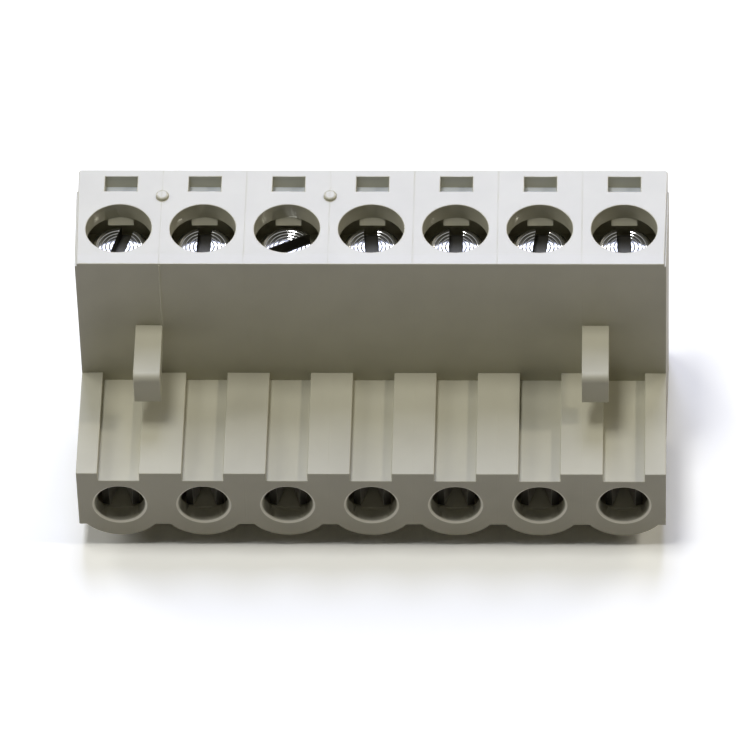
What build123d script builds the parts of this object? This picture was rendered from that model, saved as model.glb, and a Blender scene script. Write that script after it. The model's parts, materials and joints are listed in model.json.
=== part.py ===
"""Seven-pole terminal plug with rising wire clamps, in millimetres.

X runs along the row of poles, -Y is the side that mates with the header, +Z is up.
The origin is on the base, under the middle of the plug. Wires enter from the back, +Y.
"""

import os
from math import radians, tan

from build123d import *

os.makedirs("parts", exist_ok=True)

# Row of poles
poles = 7
pitch = 5.08

# Tall block that holds the clamps
block_height = 16.2
block_depth = 7.72
bevel_width = 0.75
bevel_drop = 0.1
corner_radius = 0.2
end_draft = 1.5
pad_thickness = 0.12
pad_setback = 1.5
pad_top_drop = 0.3

# Low nose that enters the header, measured from the axis of its sockets
socket_height = 3.65
nose_depth = 8.27
rib_rise = 2.8
nose_drop = 1.78
scallop_radius = 2.74
groove_width = 2.51
groove_depth = 0.66

# Sockets in the face of the nose, and the rooms behind them
socket_radius = 1.525
socket_wall = 1.0
socket_chamfer = 0.12
contact_room_width = 2.9
contact_room_drop = 1.3
room_clearance = 0.05

# Latch fingers over the nose
finger_width = 1.62
finger_reach = 4.26
finger_rise = 4.25
finger_tip_height = 2.23
finger_tip_length = 1.3
finger_thickness = 1.35
finger_rounding = 0.45

# Screw wells, set back from the wall over the nose
screw_setback = 2.87
well_clearance = 0.235
head_room_clearance = 0.35
head_room_extra_length = 0.35
lip_height = 1.13
guide_clearance = 0.2
seat_gap = 0.1

# Stops at the back of the wells, which keep the screws in
stop_width = 1.55
stop_grip = 0.06
stop_gap = 0.07
stop_edge = 0.03
stop_overlap = 0.15

# Blind pockets and gate marks on top
pocket_width = 1.96
pocket_length = 1.22
pocket_depth = 0.93
pocket_setback = 0.53
gate_radius = 0.4
gate_height = 0.2
gate_setback = 2.66
gate_boundaries = (1, 3)

# Wire mouths in the back
mouth_headroom = 0.3
mouth_flare = 0.4

# Screws, each with its slot as it was left, in degrees from the Y axis
head_radius = 1.75
head_height = 1.4
head_drop = 1.62
head_chamfer = 0.22
shank_radius = 1.45
slot_width = 0.85
slot_depth = 0.8
slot_turns = (-15, -2, -62, 4, 0, -6, 2)

# Rising clamps
clamp_depth = 4.0
clamp_plate = 0.8
clamp_side = 0.48
clamp_lift = 2.5
clamp_clearance = 0.1
clamp_bend_radius = 0.6
window_clearance = 0.07
window_height = 3.4
window_radius = 0.3
nut_height = 2.4
thread_clearance = 0.05
grip_grooves = 3
grip_spacing = 1.0
grip_width = 0.4
grip_depth = 0.2

# Contacts
sheet = 0.45
bar_rise = 1.55
bar_width = 2.6
bar_gap = 0.1
bar_overhang = 0.35
root_length = 2.2
blade_height = 2.4
blade_setback = 0.1
blade_lead_in = 1.2
blade_mouth_gap = 1.38
blade_pinch_gap = 0.6
blade_bend_radius = 0.6

# Widths of the clamps, whose windows the screws pass through, and of their chambers
window_width = 2 * (shank_radius + window_clearance)
clamp_width = window_width + 2 * clamp_side
chamber_width = clamp_width + 2 * clamp_clearance

# Places along the row and from front to back that follow from the sizes above
row_width = poles * pitch
pole_xs = [(index - (poles - 1) / 2) * pitch for index in range(poles)]
gate_xs = [boundary * pitch - row_width / 2 for boundary in gate_boundaries]
finger_inner_x = row_width / 2 - pitch
face_y = -(block_depth + nose_depth) / 2
wall_y = face_y + nose_depth
back_y = wall_y + block_depth
finger_tip_y = wall_y - finger_reach
screw_y = wall_y + screw_setback
gate_y = screw_y + gate_setback
clamp_back_y = screw_y + clamp_depth / 2
chamber_back_y = clamp_back_y + clamp_clearance
chamber_front_y = screw_y - clamp_depth / 2 - clamp_clearance

# Heights of the nose, and of the clamps round the contacts' bars
rib_height = socket_height + rib_rise
groove_floor = rib_height - groove_depth
nose_underside = socket_height - nose_drop
finger_top = rib_height + finger_rise
contact_room_floor = socket_height - contact_room_drop
bar_top = socket_height + bar_rise
window_top = bar_top + bar_gap
window_bottom = window_top - window_height
clamp_floor = window_bottom - clamp_plate
clamp_top = window_top + nut_height
mouth_top = clamp_top + mouth_headroom
chamber_top = clamp_top + clamp_lift + clamp_clearance

# Heights and radii of the screws and their wells
head_top = block_height - head_drop
head_bottom = head_top - head_height
guide_top = head_bottom - seat_gap
guide_radius = shank_radius + guide_clearance
well_radius = head_radius + well_clearance
head_room_width = 2 * (head_radius + head_room_clearance)
head_room_front_y = screw_y - head_room_width / 2
head_room_back_y = screw_y + head_room_width / 2 + head_room_extra_length
stop_root_y = head_room_back_y + stop_overlap
stop_reach = head_radius - stop_grip
stop_underside = head_top + stop_gap

# Shape of the contacts
bar_end_y = clamp_back_y + bar_overhang
root_front_y = chamber_front_y - root_length
root_width = contact_room_width - 2 * room_clearance
blade_mouth_y = face_y + socket_wall + blade_setback
blade_pinch_y = blade_mouth_y + blade_lead_in
blade_top = socket_height + blade_height / 2
contact_room_top = max(bar_top, blade_top) + room_clearance
leg_x = (root_width - sheet) / 2
pinch_x = (blade_pinch_gap + sheet) / 2
mouth_x = (blade_mouth_gap + sheet) / 2

CENTER_MIN = (Align.CENTER, Align.MIN)


def room_plan(width, front_y, rear_y, floor):
    """Plan of a square-cornered room at every pole, at the height of its floor."""
    with BuildSketch(Plane.XY.offset(floor)) as plan:
        with Locations((0, front_y)):
            with GridLocations(pitch, 0, poles, 1):
                Rectangle(width, rear_y - front_y, align=CENTER_MIN)
    return plan.sketch


def well_plan(radius, floor):
    """Plan of a round well on every screw's axis, at the height of its floor."""
    with BuildSketch(Plane.XY.offset(floor)) as plan:
        with Locations((0, screw_y)):
            with GridLocations(pitch, 0, poles, 1):
                Circle(radius)
    return plan.sketch


# Housing, moulded in one piece
with BuildPart() as housing:
    # Tall block, drawn from the side, with its gentle bevel over the wall and drafted ends
    with BuildSketch(Plane.YZ):
        with BuildLine():
            Polyline(
                (wall_y, 0),
                (back_y, 0),
                (back_y, block_height),
                (wall_y + bevel_width, block_height),
                (wall_y, block_height - bevel_drop),
                close=True,
            )
        make_face()
    extrude(amount=row_width / 2 - pad_thickness, both=True)
    draft(housing.faces().filter_by(Axis.X), Plane.XZ.offset(-wall_y), end_draft)
    fillet(housing.edges().filter_by(Axis.Z).group_by(Axis.Y)[-1], corner_radius)

    # Flat pads on both ends of the block, with the same draft
    pad_back_y = back_y - pad_setback
    pad_back_x = row_width / 2 + (pad_back_y - wall_y) * tan(radians(end_draft))
    with BuildSketch():
        with BuildLine():
            Polyline(
                (0, wall_y),
                (row_width / 2, wall_y),
                (pad_back_x, pad_back_y),
                (0, pad_back_y),
                close=True,
            )
        make_face()
        mirror(about=Plane.YZ)
    extrude(amount=block_height - pad_top_drop)

    # Nose, drawn from the front: coding grooves above, a round hollow between poles below
    with BuildSketch(Plane.XZ.offset(-wall_y)):
        with Locations((0, nose_underside)):
            Rectangle(row_width, rib_height - nose_underside, align=CENTER_MIN)
        with GridLocations(pitch, 0, poles, 1):
            with Locations((0, socket_height)):
                Circle(scallop_radius)
            with Locations((0, groove_floor)):
                Rectangle(groove_width, scallop_radius, align=CENTER_MIN, mode=Mode.SUBTRACT)
        Rectangle(row_width, 2 * block_height, mode=Mode.INTERSECT)
    extrude(amount=nose_depth)

    # Latch fingers over the nose, each with a tip that points down
    for side in (-1, 1):
        with BuildSketch(Plane.YZ.offset(side * finger_inner_x)) as finger:
            with BuildLine():
                Polyline(
                    (wall_y, finger_top),
                    (finger_tip_y, finger_top),
                    (finger_tip_y, finger_top - finger_tip_height),
                    (finger_tip_y + finger_tip_length, finger_top - finger_tip_height),
                    (finger_tip_y + finger_tip_length, finger_top - finger_thickness),
                    (wall_y, finger_top - finger_thickness),
                    close=True,
                )
            make_face()
            fillet(finger.vertices().group_by(Axis.X)[0].sort_by(Axis.Y)[-1], finger_rounding)
        extrude(amount=side * finger_width)

    # Gate marks of the mould on the top
    with BuildSketch(Plane.XY.offset(block_height)):
        with Locations(*[(gate_x, gate_y) for gate_x in gate_xs]):
            Circle(gate_radius)
    extrude(amount=gate_height)

    # Rooms that the clamps rise in, and the wire mouths that open them to the back
    clamp_rooms = room_plan(chamber_width, chamber_front_y, chamber_back_y, clamp_floor)
    extrude(clamp_rooms, amount=chamber_top - clamp_floor, mode=Mode.SUBTRACT)
    wire_mouths = room_plan(chamber_width, screw_y, back_y, clamp_floor)
    extrude(wire_mouths, amount=mouth_top - clamp_floor, mode=Mode.SUBTRACT)
    back_face = housing.faces().sort_by(Axis.Y)[-1]
    mouth_lips = [rim.edges().filter_by(Axis.X) for rim in back_face.inner_wires()]
    chamfer(mouth_lips, mouth_flare)

    # Rooms for the contacts, behind the round sockets
    contact_rooms = room_plan(
        contact_room_width, face_y + socket_wall, screw_y, contact_room_floor
    )
    extrude(contact_rooms, amount=contact_room_top - contact_room_floor, mode=Mode.SUBTRACT)
    with BuildSketch(Plane.XZ.offset(-face_y)):
        with Locations((0, socket_height)):
            with GridLocations(pitch, 0, poles, 1):
                Circle(socket_radius)
    extrude(amount=-socket_wall, mode=Mode.SUBTRACT)
    face_circles = housing.edges().filter_by(GeomType.CIRCLE).group_by(Axis.Y)[0]
    socket_rims = face_circles.filter_by(lambda edge: edge.is_closed)
    chamfer(socket_rims, socket_chamfer)

    # Screw wells: round opening, wider square room for the head, narrow guide for the shank
    openings = well_plan(well_radius, block_height - lip_height)
    extrude(openings, amount=lip_height, mode=Mode.SUBTRACT)
    head_rooms = room_plan(head_room_width, head_room_front_y, head_room_back_y, guide_top)
    extrude(head_rooms, amount=block_height - lip_height - guide_top, mode=Mode.SUBTRACT)
    guides = well_plan(guide_radius, chamber_top)
    extrude(guides, amount=guide_top - chamber_top, mode=Mode.SUBTRACT)

    # Stops at the back of the wells that keep the screws in
    for pole_x in pole_xs:
        with BuildSketch(Plane.YZ.offset(pole_x)):
            with BuildLine():
                Polyline(
                    (stop_root_y, block_height - lip_height),
                    (screw_y + well_radius, block_height - lip_height),
                    (screw_y + stop_reach, stop_underside + stop_edge),
                    (screw_y + stop_reach, stop_underside),
                    (stop_root_y, stop_underside),
                    close=True,
                )
            make_face()
        extrude(amount=stop_width / 2, both=True)

    # Blind pockets behind the wells
    pocket_back_y = back_y - pocket_setback
    pockets = room_plan(
        pocket_width, pocket_back_y - pocket_length, pocket_back_y, block_height - pocket_depth
    )
    extrude(pockets, amount=pocket_depth, mode=Mode.SUBTRACT)
housing.part.label = "housing"
export_step(housing.part, "parts/housing.step")

# Screw: turned and slotted, standing on its own axis, slot along Y
with BuildPart() as screw:
    with BuildSketch(Plane.XZ):
        with BuildLine():
            Polyline(
                (0, bar_top),
                (shank_radius, bar_top),
                (shank_radius, head_bottom),
                (head_radius, head_bottom),
                (head_radius, head_top - head_chamfer),
                (head_radius - head_chamfer, head_top),
                (0, head_top),
                close=True,
            )
        make_face()
    revolve(axis=Axis.Z)
    with BuildSketch(Plane.XY.offset(head_top)):
        Rectangle(slot_width, 2 * head_radius)
    extrude(amount=-slot_depth, mode=Mode.SUBTRACT)

# Clamp: a strip folded into a box, with the nut at its top
with BuildPart() as clamp:
    with BuildSketch(Plane.XZ.offset(-clamp_back_y)):
        with Locations((0, (clamp_floor + clamp_top) / 2)):
            RectangleRounded(clamp_width, clamp_top - clamp_floor, clamp_bend_radius)
        with Locations((0, (window_bottom + window_top) / 2)):
            RectangleRounded(window_width, window_height, window_radius, mode=Mode.SUBTRACT)
    extrude(amount=clamp_depth)
    with BuildSketch(Plane.XY.offset(clamp_top)):
        with Locations((0, screw_y)):
            Circle(shank_radius + thread_clearance)
    extrude(amount=-nut_height - window_radius, mode=Mode.SUBTRACT)
    # Grooves across the plate that grip the wire
    with BuildSketch(Plane.XY.offset(window_bottom)):
        with Locations((0, screw_y)):
            with GridLocations(0, grip_spacing, 1, grip_grooves):
                Rectangle(window_width - 2 * window_radius, grip_width)
    extrude(amount=-grip_depth, mode=Mode.SUBTRACT)

# Contact: one folded strip, a bar under the screw and two spring blades for the pin
with BuildPart() as contact:
    with BuildSketch(Plane.XY.offset(bar_top - sheet)):
        with Locations((0, root_front_y)):
            Rectangle(bar_width, bar_end_y - root_front_y, align=CENTER_MIN)
    extrude(amount=sheet)
    with BuildSketch(Plane.XZ.offset(-chamber_front_y)):
        with Locations((0, contact_room_floor)):
            Rectangle(root_width, bar_top - contact_room_floor, align=CENTER_MIN)
            Rectangle(
                root_width - 2 * sheet,
                bar_top - sheet - contact_room_floor,
                align=CENTER_MIN,
                mode=Mode.SUBTRACT,
            )
    extrude(amount=root_length)
    with BuildSketch(Plane.XY.offset(socket_height - blade_height / 2)):
        with BuildLine():
            FilletPolyline(
                (leg_x, root_front_y + sheet),
                (leg_x, root_front_y - sheet),
                (pinch_x, blade_pinch_y),
                (mouth_x, blade_mouth_y),
                radius=blade_bend_radius,
            )
        trace(line_width=sheet)
        mirror(about=Plane.YZ)
    extrude(amount=blade_height)

# One screw, clamp and contact for each pole
for number, pole_x in enumerate(pole_xs, start=1):
    slot_turn = slot_turns[(number - 1) % len(slot_turns)]
    pole_place = Location((pole_x, 0, 0))
    pieces = {
        "screw": screw.part.moved(Location((pole_x, screw_y, 0), (0, 0, slot_turn))),
        "clamp": clamp.part.moved(pole_place),
        "contact": contact.part.moved(pole_place),
    }
    for kind, piece in pieces.items():
        piece.label = f"{kind}_{number}"
        export_step(piece, f"parts/{kind}_{number}.step")
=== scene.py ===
# Terminal plug: finishes, stage, light and camera. Lengths are in metres.
import json
from math import radians

import bmesh
import bpy
from mathutils import Matrix, Vector

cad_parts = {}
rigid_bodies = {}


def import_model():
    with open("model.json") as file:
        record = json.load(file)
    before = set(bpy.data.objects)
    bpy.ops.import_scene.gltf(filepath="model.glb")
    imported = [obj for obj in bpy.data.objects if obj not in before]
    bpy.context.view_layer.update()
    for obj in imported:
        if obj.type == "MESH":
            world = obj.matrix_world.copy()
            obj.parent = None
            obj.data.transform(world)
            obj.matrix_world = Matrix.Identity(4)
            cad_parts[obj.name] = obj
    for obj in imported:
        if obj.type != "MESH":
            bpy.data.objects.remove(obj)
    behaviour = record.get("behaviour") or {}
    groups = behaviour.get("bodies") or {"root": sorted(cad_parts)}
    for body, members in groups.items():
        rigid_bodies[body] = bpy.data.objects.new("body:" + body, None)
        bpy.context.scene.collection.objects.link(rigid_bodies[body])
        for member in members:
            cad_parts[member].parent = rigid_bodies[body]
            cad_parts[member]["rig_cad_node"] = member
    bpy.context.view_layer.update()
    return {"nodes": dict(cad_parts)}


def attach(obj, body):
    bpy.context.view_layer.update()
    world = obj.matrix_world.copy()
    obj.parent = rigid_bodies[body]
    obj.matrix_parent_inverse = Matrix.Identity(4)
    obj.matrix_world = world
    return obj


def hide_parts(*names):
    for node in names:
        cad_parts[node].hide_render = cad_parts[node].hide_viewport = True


mm = 0.001
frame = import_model()
nodes = frame["nodes"]
bpy.ops.object.select_all(action="DESELECT")
print("Frame loaded:", len(nodes), "nodes")

plug = {
    "poles": 7,
    "pitch": 5.08 * mm,
    "middle": (0, 0, 8 * mm),
}


# Camera and stage

camera = {
    "azimuth": 2.797,
    "elevation": 47.4,
    "roll": -1.96,
    "distance": 525 * mm,
    "lens": 414.16,
    "sensor": 36,
    "clip": (0.05, 10),
    "target": (0.075 * mm, 0.185 * mm, 6.364 * mm),
}


def addCamera(shot):
    turn = Matrix.Rotation(radians(shot["azimuth"]), 3, "Z")
    tilt = Matrix.Rotation(radians(90 - shot["elevation"]), 3, "X")
    roll = Matrix.Rotation(radians(shot["roll"]), 3, "Z")
    aim = turn @ tilt @ roll
    place = Vector(shot["target"]) + aim @ Vector((0, 0, shot["distance"]))
    bpy.ops.object.camera_add(location=place, rotation=aim.to_euler())
    cameraObject = bpy.context.object
    cameraObject.data.lens = shot["lens"]
    cameraObject.data.sensor_width = shot["sensor"]
    cameraObject.data.clip_start, cameraObject.data.clip_end = shot["clip"]
    bpy.context.scene.camera = cameraObject


addCamera(camera)
bpy.context.scene.view_settings.view_transform = "Standard"

stage = {
    "floorSize": 3.0,
    "floorSeen": (1.1, 1.1, 1.05, 1),
    "floorBounce": (0.58, 0.56, 0.53, 1),
    "worldCamera": (1, 1, 1, 1),
    "worldGlossy": (0.38, 0.38, 0.38, 1),
    "worldLight": (0.01, 0.01, 0.01, 1),
}


def addFloor(setting):
    bpy.ops.mesh.primitive_plane_add(size=setting["floorSize"])
    floor = bpy.context.object
    floor.name = "floor"
    material = bpy.data.materials.new("floorWhite")
    material.use_nodes = True
    tree = material.node_tree
    tree.nodes.clear()
    path = tree.nodes.new("ShaderNodeLightPath")
    output = tree.nodes.new("ShaderNodeOutputMaterial")
    seen = tree.nodes.new("ShaderNodeBsdfDiffuse")
    bounce = tree.nodes.new("ShaderNodeBsdfDiffuse")
    mix = tree.nodes.new("ShaderNodeMixShader")
    seen.inputs["Color"].default_value = setting["floorSeen"]
    bounce.inputs["Color"].default_value = setting["floorBounce"]
    tree.links.new(path.outputs["Is Camera Ray"], mix.inputs[0])
    tree.links.new(bounce.outputs[0], mix.inputs[1])
    tree.links.new(seen.outputs[0], mix.inputs[2])
    tree.links.new(mix.outputs[0], output.inputs["Surface"])
    floor.data.materials.append(material)


def setWorld(setting):
    world = bpy.data.worlds.new("whiteRoom")
    world.use_nodes = True
    tree = world.node_tree
    tree.nodes.clear()
    path = tree.nodes.new("ShaderNodeLightPath")
    output = tree.nodes.new("ShaderNodeOutputWorld")
    shaders = {}
    for key in ("worldCamera", "worldGlossy", "worldLight"):
        shaders[key] = tree.nodes.new("ShaderNodeBackground")
        shaders[key].inputs["Color"].default_value = setting[key]
    glossyMix = tree.nodes.new("ShaderNodeMixShader")
    cameraMix = tree.nodes.new("ShaderNodeMixShader")
    links = tree.links
    links.new(path.outputs["Is Glossy Ray"], glossyMix.inputs[0])
    links.new(shaders["worldLight"].outputs[0], glossyMix.inputs[1])
    links.new(shaders["worldGlossy"].outputs[0], glossyMix.inputs[2])
    links.new(path.outputs["Is Camera Ray"], cameraMix.inputs[0])
    links.new(glossyMix.outputs[0], cameraMix.inputs[1])
    links.new(shaders["worldCamera"].outputs[0], cameraMix.inputs[2])
    links.new(cameraMix.outputs[0], output.inputs["Surface"])
    bpy.context.scene.world = world


addFloor(stage)
setWorld(stage)

daylight = (0.9, 0.97, 1.36)
white = (1.0, 1.0, 1.0)
warm = (1.06, 1.0, 0.88)
lamps = {
    "back": dict(azimuth=90, elevation=58, size=(0.2, 0.34), power=1.55, colour=daylight),
    "overhead": dict(azimuth=180, elevation=80, size=(0.18, 0.12), power=1.37, colour=white),
    "left": dict(azimuth=183, elevation=30, size=(0.15, 0.15), power=0.6, colour=white),
    "right": dict(azimuth=357, elevation=47, size=(0.06, 0.06), power=0.64, colour=warm),
    "backLeft": dict(azimuth=135, elevation=30, size=(0.2, 0.15), power=0.65, colour=white),
    "backRight": dict(azimuth=45, elevation=30, size=(0.2, 0.15), power=0.5, colour=warm),
    "front": dict(azimuth=270, elevation=68, size=(0.15, 0.15), power=0.03, colour=white),
}
lampDistance = 0.6


def addLamp(name, lamp):
    # Azimuth 0 is on the +X side and 90 is behind, on the +Y side
    turn = Matrix.Rotation(radians(lamp["azimuth"]), 3, "Z")
    lift = Matrix.Rotation(radians(-lamp["elevation"]), 3, "Y")
    direction = turn @ lift @ Vector((1, 0, 0))
    place = Vector(plug["middle"]) + direction * lampDistance
    bpy.ops.object.light_add(type="AREA", location=place)
    lampObject = bpy.context.object
    lampObject.name = name
    lampObject.rotation_euler = direction.to_track_quat("Z", "Y").to_euler()
    lampObject.data.shape = "RECTANGLE"
    lampObject.data.size, lampObject.data.size_y = lamp["size"]
    lampObject.data.energy = lamp["power"]
    lampObject.data.color = lamp["colour"]
    lampObject.visible_camera = False


for lampName, lampSetting in lamps.items():
    addLamp(lampName, lampSetting)
print("Camera, stage and lamps ready")


# Shared modelling steps

modelling = {
    "weldReach": 0.0001 * mm,
    "flatWithin": 0.5,
    "sharpAngle": 30,
    "smoothAngle": 20,
    "broadFlat": 0.4 * mm,
    "manyCorners": 8,
    "levelNormal": 0.99999,
}


def pickOnly(piece):
    bpy.ops.object.select_all(action="DESELECT")
    piece.select_set(True)
    bpy.context.view_layer.objects.active = piece


def workingCopy(nodeName, pieceName):
    # A copy of a CAD node with its loose triangles merged and its flats made whole
    pickOnly(nodes[nodeName])
    bpy.ops.object.duplicate()
    piece = bpy.context.object
    piece.name = pieceName
    piece.data.name = pieceName
    del piece["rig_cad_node"]
    bpy.ops.object.mode_set(mode="EDIT")
    bpy.ops.mesh.select_all(action="SELECT")
    bpy.ops.mesh.remove_doubles(threshold=modelling["weldReach"])
    bpy.ops.mesh.dissolve_limited(angle_limit=radians(modelling["flatWithin"]))
    bpy.ops.object.mode_set(mode="OBJECT")
    return piece


def pickEdges(piece, isWanted):
    # Edit mode with the wanted edges selected; isWanted gets an edge and its ends in mm
    pickOnly(piece)
    bpy.ops.object.mode_set(mode="EDIT")
    bpy.ops.mesh.select_mode(type="EDGE")
    bpy.ops.mesh.select_all(action="DESELECT")
    mesh = bmesh.from_edit_mesh(piece.data)
    for edge in mesh.edges:
        one, two = (vertex.co / mm for vertex in edge.verts)
        edge.select_set(bool(isWanted(edge, one, two)))
    picked = sum(edge.select for edge in mesh.edges)
    bmesh.update_edit_mesh(piece.data)
    print(piece.name, "edges picked:", picked)


def roundPicked(width, segments):
    bpy.ops.mesh.bevel(offset=width, segments=segments, clamp_overlap=True)
    bpy.ops.object.mode_set(mode="OBJECT")


def isSharpOutside(edge):
    sharp = radians(modelling["sharpAngle"])
    return edge.is_manifold and edge.is_convex and edge.calc_face_angle() > sharp


def softenEdges(piece, width, angle):
    bevel = piece.modifiers.new("softEdges", "BEVEL")
    bevel.width = width
    bevel.segments = 2
    bevel.limit_method = "ANGLE"
    bevel.angle_limit = radians(angle)
    bevel.use_clamp_overlap = True


def smoothShade(piece):
    # Round walls and rounded edges are shaded smooth. Broad, level or many-sided faces stay flat.
    pickOnly(piece)
    bpy.ops.object.shade_smooth_by_angle(angle=radians(modelling["smoothAngle"]))
    bpy.ops.object.mode_set(mode="EDIT")
    bpy.ops.mesh.select_mode(type="FACE")
    bpy.ops.mesh.select_all(action="DESELECT")
    mesh = bmesh.from_edit_mesh(piece.data)
    for face in mesh.faces:
        isBroad = 2 * face.calc_area() / face.calc_perimeter() > modelling["broadFlat"]
        isLevel = face.normal.z > modelling["levelNormal"]
        face.select_set(isBroad or isLevel or len(face.verts) > modelling["manyCorners"])
    flats = sum(face.select for face in mesh.faces)
    bmesh.update_edit_mesh(piece.data)
    if flats:
        bpy.ops.mesh.faces_shade_flat()
    bpy.ops.object.mode_set(mode="OBJECT")
    print(piece.name, "broad flats:", flats)


def applyAll(piece):
    pickOnly(piece)
    for modifier in list(piece.modifiers):
        bpy.ops.object.modifier_apply(modifier=modifier.name)


# Material helpers

def newMaterial(name, finish, metallic):
    material = bpy.data.materials.new(name)
    material.use_nodes = True
    shader = material.node_tree.nodes["Principled BSDF"]
    shader.inputs["Base Color"].default_value = finish["colour"]
    shader.inputs["Roughness"].default_value = finish["roughness"]
    shader.inputs["Metallic"].default_value = metallic
    return material


def paint(piece, material):
    piece.data.materials.clear()
    piece.data.materials.append(material)


def addMath(tree, operation, *values):
    # Each value is a number or the output of another node
    node = tree.nodes.new("ShaderNodeMath")
    node.operation = operation
    for index, value in enumerate(values):
        if isinstance(value, (int, float)):
            node.inputs[index].default_value = value
        else:
            tree.links.new(value, node.inputs[index])
    return node.outputs[0]


def addFade(tree, value, span, ends, interpolation="LINEAR"):
    # Goes from the first end to the second while the value crosses the span
    node = tree.nodes.new("ShaderNodeMapRange")
    node.interpolation_type = interpolation
    node.inputs["From Min"].default_value, node.inputs["From Max"].default_value = span
    node.inputs["To Min"].default_value, node.inputs["To Max"].default_value = ends
    tree.links.new(value, node.inputs["Value"])
    return node.outputs[0]


def addNoise(tree, place, scale, detail):
    node = tree.nodes.new("ShaderNodeTexNoise")
    node.inputs["Scale"].default_value = scale
    node.inputs["Detail"].default_value = detail
    tree.links.new(place, node.inputs["Vector"])
    return node.outputs["Fac"]


def addBump(tree, height, depth):
    node = tree.nodes.new("ShaderNodeBump")
    node.inputs["Strength"].default_value = 1.0
    node.inputs["Distance"].default_value = depth
    tree.links.new(height, node.inputs["Height"])
    return node


def addMix(tree, share, one, two):
    # Each colour is a fixed one or the output of another node
    node = tree.nodes.new("ShaderNodeMix")
    node.data_type = "RGBA"
    tree.links.new(share, node.inputs["Factor"])
    for socket, colour in (("A", one), ("B", two)):
        if isinstance(colour, tuple):
            node.inputs[socket].default_value = colour
        else:
            tree.links.new(colour, node.inputs[socket])
    return node.outputs["Result"]


def addRamp(tree, value, stops):
    node = tree.nodes.new("ShaderNodeValToRGB")
    for element, (position, colour) in zip(node.color_ramp.elements, stops):
        element.position = position
        element.color = colour
    tree.links.new(value, node.inputs["Fac"])
    return node.outputs["Color"]


def splitVector(tree, vector):
    node = tree.nodes.new("ShaderNodeSeparateXYZ")
    tree.links.new(vector, node.inputs[0])
    return node.outputs


# Housing

housing = {
    "colour": (0.502, 0.482, 0.362, 1),
    "colourWorn": (0.47, 0.45, 0.337, 1),
    "roughness": 0.34,
    "roughnessNose": 0.57,
    "noseBehind": (0.25 * mm, 0.27 * mm),
    "specular": 0.85,
    "grainScale": 9000,
    "grainDetail": 2,
    "grainHeight": 0.002 * mm,
    "cloudScale": 350,
    "cloudDetail": 3,
    "cloudSpan": (0.3, 0.6),
    "edgeRounding": 0.09 * mm,
    "edgeSteps": 3,
    "gateRounding": 0.14 * mm,
    "gateSteps": 4,
    "stopRounding": 0.25 * mm,
    "stopSteps": 4,
    "seamWidth": 0.05 * mm,
    "seamHeight": 0.009 * mm,
    "seamReach": 17 * mm,
    "seamBreakScale": 1400,
    "seamBreakDetail": 2,
    # Painted highlight: a pale ring painted round the rim of each socket on the front face
    "rimRadius": 1.6 * mm,
    "rimFade": (0.035 * mm, 0.09 * mm),
    "rimHighlightColour": (0.9, 0.87, 0.72, 1),
    "rimBehind": -7.86 * mm,
    "socketHeight": 3.65 * mm,
    # Painted reflection: the floors of the top pockets are painted paler and bluer
    "pocketFloor": 15.27 * mm,
    "pocketReach": 0.05 * mm,
    "pocketFacing": 0.9,
    "pocketSheenColour": (0.64, 0.68, 0.72, 1),
    "flashRadius": 0.06 * mm,
    "flashFacets": 24,
    "flashFoot": 10.6 * mm,
    "flashTop": 16.0 * mm,
    "flashAt": (-12.7 * mm, 0.275 * mm),
}
# Planes of the moulding and how near to them an edge lies, in millimetres
block = {"bevelFoot": 16.1, "front": -7.995, "wall": 0.275, "back": 7.995, "end": 17.6}
nose = {"grooveFloor": 5.79, "scallopTop": 1.95}
gate = {"foot": 16.3}
stop = {"underside": 14.65, "halfWidth": 0.775, "shortest": 0.2}
near = {"plane": 0.05, "corner": 0.01, "side": 0.02}


def onTheOutside(point):
    onNose = point.y < block["wall"] + near["corner"] and (
        point.z > nose["grooveFloor"] - near["plane"] or point.z < nose["scallopTop"]
    )
    onBase = point.z < near["plane"]
    onTop = point.z > block["bevelFoot"] - near["plane"]
    onEnd = abs(point.x) > block["end"]
    inFront = point.y < block["front"] + near["plane"]
    behind = point.y > block["back"] - near["plane"]
    return onNose or onBase or onTop or onEnd or inFront or behind


def isGateRim(edge, one, two):
    return min(one.z, two.z) > gate["foot"] and isSharpOutside(edge)


def isStopCorner(edge, one, two):
    alongY = abs(one.x - two.x) < near["corner"] and abs(one.y - two.y) > stop["shortest"]
    fromUnderside = max(abs(one.z - stop["underside"]), abs(two.z - stop["underside"]))
    pitch = plug["pitch"] / mm
    fromPole = abs((one.x / pitch + plug["poles"] / 2) % 1 - 0.5) * pitch
    atSide = abs(fromPole - stop["halfWidth"]) < near["side"]
    return alongY and fromUnderside < near["corner"] and atSide and isSharpOutside(edge)


def isOuterCorner(edge, one, two):
    return isSharpOutside(edge) and onTheOutside(one) and onTheOutside(two)


def addFlash(piece, setting):
    # A hair of flash up the wall, where two mould inserts meet
    height = setting["flashTop"] - setting["flashFoot"]
    bpy.ops.mesh.primitive_cylinder_add(
        vertices=setting["flashFacets"], radius=setting["flashRadius"], depth=height
    )
    flash = bpy.context.object
    flash.location = (*setting["flashAt"], setting["flashFoot"] + height / 2)
    bpy.ops.object.transform_apply(location=True, rotation=False, scale=False)
    pickOnly(piece)
    flash.select_set(True)
    bpy.ops.object.join()


def makeHousing(setting):
    piece = workingCopy("housing", "housingShell")
    pickEdges(piece, isGateRim)
    roundPicked(setting["gateRounding"], setting["gateSteps"])
    pickEdges(piece, isStopCorner)
    roundPicked(setting["stopRounding"], setting["stopSteps"])
    pickEdges(piece, isOuterCorner)
    roundPicked(setting["edgeRounding"], setting["edgeSteps"])
    addFlash(piece, setting)
    smoothShade(piece)
    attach(piece, "housing")
    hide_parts("housing")
    return piece


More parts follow.
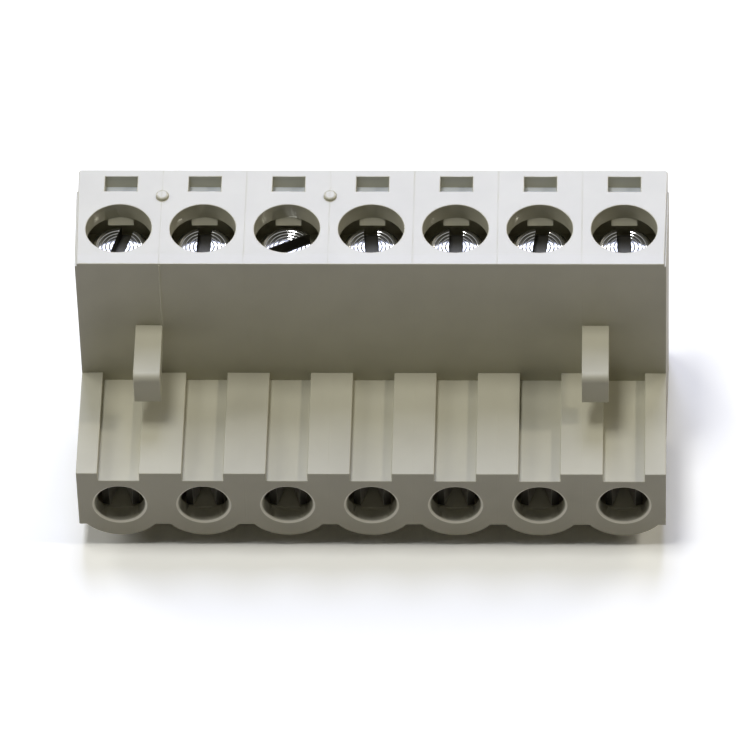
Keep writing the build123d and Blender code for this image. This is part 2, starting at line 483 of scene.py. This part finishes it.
def paintPlastic(piece, setting):
    material = newMaterial("polyamide", setting, 0)
    tree = material.node_tree
    link = tree.links.new
    shader = tree.nodes["Principled BSDF"]
    shader.inputs["Specular IOR Level"].default_value = setting["specular"]
    coordinates = tree.nodes.new("ShaderNodeTexCoord")
    place = coordinates.outputs["Object"]
    along = splitVector(tree, place)
    facing = splitVector(tree, coordinates.outputs["Normal"])

    # Faint clouds in the tone of the moulding
    clouds = addNoise(tree, place, setting["cloudScale"], setting["cloudDetail"])
    tones = zip(setting["cloudSpan"], (setting["colourWorn"], setting["colour"]))
    tone = addRamp(tree, clouds, list(tones))

    # The insert that shapes the nose and the fingers leaves a duller finish
    polish = (setting["roughnessNose"], setting["roughness"])
    link(addFade(tree, along["Y"], setting["noseBehind"], polish), shader.inputs["Roughness"])

    # Spark-eroded grain
    grain = addNoise(tree, place, setting["grainScale"], setting["grainDetail"])
    grainBump = addBump(tree, grain, setting["grainHeight"])

    # Fine seams of the mould inserts between the poles, broken here and there
    poleStep = addMath(tree, "DIVIDE", along["X"], plug["pitch"])
    betweenPoles = addMath(tree, "SUBTRACT", addMath(tree, "WRAP", poleStep, 1.0, 0.0), 0.5)
    fromSeam = addMath(tree, "ABSOLUTE", betweenPoles)
    seamSpan = (0.0, setting["seamWidth"] / plug["pitch"])
    ridge = addFade(tree, fromSeam, seamSpan, (1.0, 0.0), "SMOOTHSTEP")
    fromMiddle = addMath(tree, "ABSOLUTE", along["X"])
    inReach = addMath(tree, "LESS_THAN", fromMiddle, setting["seamReach"])
    broken = addNoise(tree, place, setting["seamBreakScale"], setting["seamBreakDetail"])
    seam = addMath(tree, "MULTIPLY", addMath(tree, "MULTIPLY", broken, inReach), ridge)
    seamBump = addBump(tree, seam, setting["seamHeight"])
    link(grainBump.outputs["Normal"], seamBump.inputs["Normal"])
    link(seamBump.outputs["Normal"], shader.inputs["Normal"])

    # Painted highlight: a pale ring is painted round the rim of each socket on the front face,
    # standing in for a bright edge line
    aside = addMath(tree, "MULTIPLY", addMath(tree, "WRAP", poleStep, 0.5, -0.5), plug["pitch"])
    above = addMath(tree, "SUBTRACT", along["Z"], setting["socketHeight"])
    asideSquared = addMath(tree, "MULTIPLY", aside, aside)
    aboveSquared = addMath(tree, "MULTIPLY", above, above)
    fromAxis = addMath(tree, "SQRT", addMath(tree, "ADD", asideSquared, aboveSquared))
    fromRim = addMath(tree, "ABSOLUTE", addMath(tree, "SUBTRACT", fromAxis, setting["rimRadius"]))
    rimHighlightMask = addFade(tree, fromRim, setting["rimFade"], (1.0, 0.0), "SMOOTHSTEP")
    onFace = addMath(tree, "LESS_THAN", along["Y"], setting["rimBehind"])
    rimHighlightedTone = addMix(tree, addMath(tree, "MULTIPLY", rimHighlightMask, onFace), tone, setting["rimHighlightColour"])

    # Painted reflection: the floors of the pockets are painted paler and bluer, standing in for
    # the sheen of the back light on them
    atDepth = addMath(tree, "COMPARE", along["Z"], setting["pocketFloor"], setting["pocketReach"])
    facesUp = addMath(tree, "GREATER_THAN", facing["Z"], setting["pocketFacing"])
    pocketSheenMask = addMath(tree, "MULTIPLY", atDepth, facesUp)
    link(addMix(tree, pocketSheenMask, rimHighlightedTone, setting["pocketSheenColour"]), shader.inputs["Base Color"])
    paint(piece, material)


housingShell = makeHousing(housing)
paintPlastic(housingShell, housing)
print("Housing made:", len(housingShell.data.polygons), "faces")


# Screws

screw = {
    "colour": (0.3, 0.3, 0.29, 1),
    # Painted highlight on the ring grooves, darker flats, and painted shade on the slot and all
    # below the face
    "colourRingHighlight": (1, 1, 0.97, 1),
    "colourBelowShade": (0.12, 0.115, 0.095, 1),
    "roughness": 0.1,
    "roughnessBelow": 0.4,
    "axisY": 3.145 * mm,
    "top": 14.58 * mm,
    "headRadius": 1.75 * mm,
    "headHeight": 1.4 * mm,
    "headChamfer": 0.22 * mm,
    "shankRadius": 1.45 * mm,
    "bottom": 5.2 * mm,
    "ringPitch": 0.225 * mm,
    "ringHeight": 0.0168 * mm,
    "ringShare": 0.4,
    "ringPoints": 10,
    "turns": 96,
    "slotWidth": 0.85 * mm,
    "slotDepth": 0.8 * mm,
    "slotTurns": (-15, -2, -62, 4, 0, -6, 2),
    "edgeRounding": 0.03 * mm,
    "edgeAngle": 43,
    "faceDepth": (0.12 * mm, 0.04 * mm),
    "flatShare": (0.6, 0.2),
    "weldReach": 0.001 * mm,
}


def lathe(name, outline, steps, weldReach):
    # Spins an outline of (radius, height) points round the Z axis into a closed solid
    bpy.ops.mesh.primitive_plane_add(size=mm)
    piece = bpy.context.object
    piece.name = name
    bpy.ops.object.mode_set(mode="EDIT")
    bpy.ops.mesh.select_all(action="SELECT")
    bpy.ops.mesh.delete(type="VERT")
    bpy.ops.object.mode_set(mode="OBJECT")
    points = [(radius, 0, height) for radius, height in outline]
    links = [(index, index + 1) for index in range(len(points) - 1)]
    piece.data.from_pydata(points, links, [])
    bpy.ops.object.mode_set(mode="EDIT")
    bpy.ops.mesh.select_all(action="SELECT")
    bpy.ops.mesh.spin(steps=steps, angle=radians(360), center=(0, 0, 0), axis=(0, 0, 1))
    bpy.ops.mesh.select_all(action="SELECT")
    bpy.ops.mesh.remove_doubles(threshold=weldReach)
    bpy.ops.mesh.normals_make_consistent(inside=False)
    bpy.ops.object.mode_set(mode="OBJECT")
    return piece


def cutAway(piece, cutter):
    boolean = piece.modifiers.new("cut", "BOOLEAN")
    boolean.operation = "DIFFERENCE"
    boolean.solver = "EXACT"
    boolean.object = cutter
    pickOnly(piece)
    bpy.ops.object.modifier_apply(modifier=boolean.name)
    pickOnly(cutter)
    bpy.ops.object.delete()


def turnedOutline(setting):
    # The lathe leaves shallow grooves on the face of the head, with flats between
    ringedRadius = setting["headRadius"] - setting["headChamfer"]
    pitch = setting["ringPitch"]
    count = int(ringedRadius / pitch * setting["ringPoints"])
    face = []
    for index in range(count + 1):
        radius = ringedRadius * index / count
        inGroove = max(0, (radius / pitch % 1 - 1) / setting["ringShare"] + 1)
        groove = 1 - abs(2 * inGroove - 1)
        face.append((radius, setting["top"] - groove * setting["ringHeight"]))
    headBottom = setting["top"] - setting["headHeight"]
    return face + [
        (setting["headRadius"], setting["top"] - setting["headChamfer"]),
        (setting["headRadius"], headBottom),
        (setting["shankRadius"], headBottom),
        (setting["shankRadius"], setting["bottom"]),
        (0, setting["bottom"]),
    ]


def makeScrew(setting):
    piece = lathe("screwBlank", turnedOutline(setting), setting["turns"], setting["weldReach"])
    bpy.ops.mesh.primitive_cube_add(size=1)
    slotCutter = bpy.context.object
    slotCutter.scale = (setting["slotWidth"], 3 * setting["headRadius"], 2 * setting["slotDepth"])
    slotCutter.location = (0, 0, setting["top"])
    bpy.ops.object.transform_apply(location=True, rotation=True, scale=True)
    cutAway(piece, slotCutter)
    softenEdges(piece, setting["edgeRounding"], setting["edgeAngle"])
    applyAll(piece)
    smoothShade(piece)
    return piece


def placeScrews(blank, setting, material):
    middle = (plug["poles"] + 1) / 2
    for number in range(1, plug["poles"] + 1):
        pickOnly(blank)
        bpy.ops.object.duplicate()
        piece = bpy.context.object
        piece.name = f"turnedScrew_{number}"
        piece.rotation_euler = (0, 0, radians(setting["slotTurns"][number - 1]))
        piece.location = ((number - middle) * plug["pitch"], setting["axisY"], 0)
        bpy.ops.object.transform_apply(location=True, rotation=True, scale=True)
        paint(piece, material)
        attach(piece, f"screw_{number}")
        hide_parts(f"screw_{number}")
    pickOnly(blank)
    bpy.ops.object.delete()


def turnedSteel(setting):
    # Painted highlight: the ring grooves on the face of the head are painted near-white and the
    # flats between them darker, so the rings show as bright lines. Painted shade: the slot and
    # all below the face are painted dark, and they stay dull.
    material = newMaterial("turnedSteel", setting, 1)
    tree = material.node_tree
    link = tree.links.new
    shader = tree.nodes["Principled BSDF"]
    coordinates = tree.nodes.new("ShaderNodeTexCoord")
    height = splitVector(tree, coordinates.outputs["Object"])["Z"]
    faceSpan = [setting["top"] - depth for depth in setting["faceDepth"]]
    onFace = addFade(tree, height, faceSpan, (0.0, 1.0))
    flatSpan = [setting["top"] - share * setting["ringHeight"] for share in setting["flatShare"]]
    onFlat = addFade(tree, height, flatSpan, (0.0, 1.0))
    paintedRingTone = addMix(tree, onFlat, setting["colourRingHighlight"], setting["colour"])
    link(addMix(tree, onFace, setting["colourBelowShade"], paintedRingTone), shader.inputs["Base Color"])
    polish = (setting["roughnessBelow"], setting["roughness"])
    link(addFade(tree, onFace, (0.0, 1.0), polish), shader.inputs["Roughness"])
    return material


screwBlank = makeScrew(screw)
print("Screw made:", len(screwBlank.data.polygons), "faces")
placeScrews(screwBlank, screw, turnedSteel(screw))


# Clamps and contacts

clamp = {
    "colour": (0.62, 0.6, 0.55, 1),
    "roughness": 0.35,
    "edgeRounding": 0.06 * mm,
}
contact = {
    "colour": (0.62, 0.61, 0.58, 1),
    # Painted shade on the contact ends that face along Y
    "colourEndShade": (0.16, 0.155, 0.14, 1),
    "roughness": 0.3,
    "edgeRounding": 0.04 * mm,
    "endFacing": (0.8, 0.95),
}


def dressNode(node, setting, material):
    weld = node.modifiers.new("weld", "WELD")
    weld.merge_threshold = modelling["weldReach"]
    softenEdges(node, setting["edgeRounding"], modelling["sharpAngle"])
    paint(node, material)


def tinWithShadedEnds(setting):
    # Painted shade: the ends of the strip, which face along Y, are painted dark for the shade
    # they lie in deep in the sockets
    material = newMaterial("tinnedContact", setting, 1)
    tree = material.node_tree
    shader = tree.nodes["Principled BSDF"]
    coordinates = tree.nodes.new("ShaderNodeTexCoord")
    facing = addMath(tree, "ABSOLUTE", splitVector(tree, coordinates.outputs["Normal"])["Y"])
    isEnd = addFade(tree, facing, setting["endFacing"], (0.0, 1.0))
    tone = addRamp(tree, isEnd, ((0.0, setting["colour"]), (1.0, setting["colourEndShade"])))
    tree.links.new(tone, shader.inputs["Base Color"])
    return material


clampMetal = newMaterial("platedClamp", clamp, 1)
contactTin = tinWithShadedEnds(contact)
for number in range(1, plug["poles"] + 1):
    dressNode(nodes[f"clamp_{number}"], clamp, clampMetal)
    dressNode(nodes[f"contact_{number}"], contact, contactTin)
print("Clamps and contacts dressed")
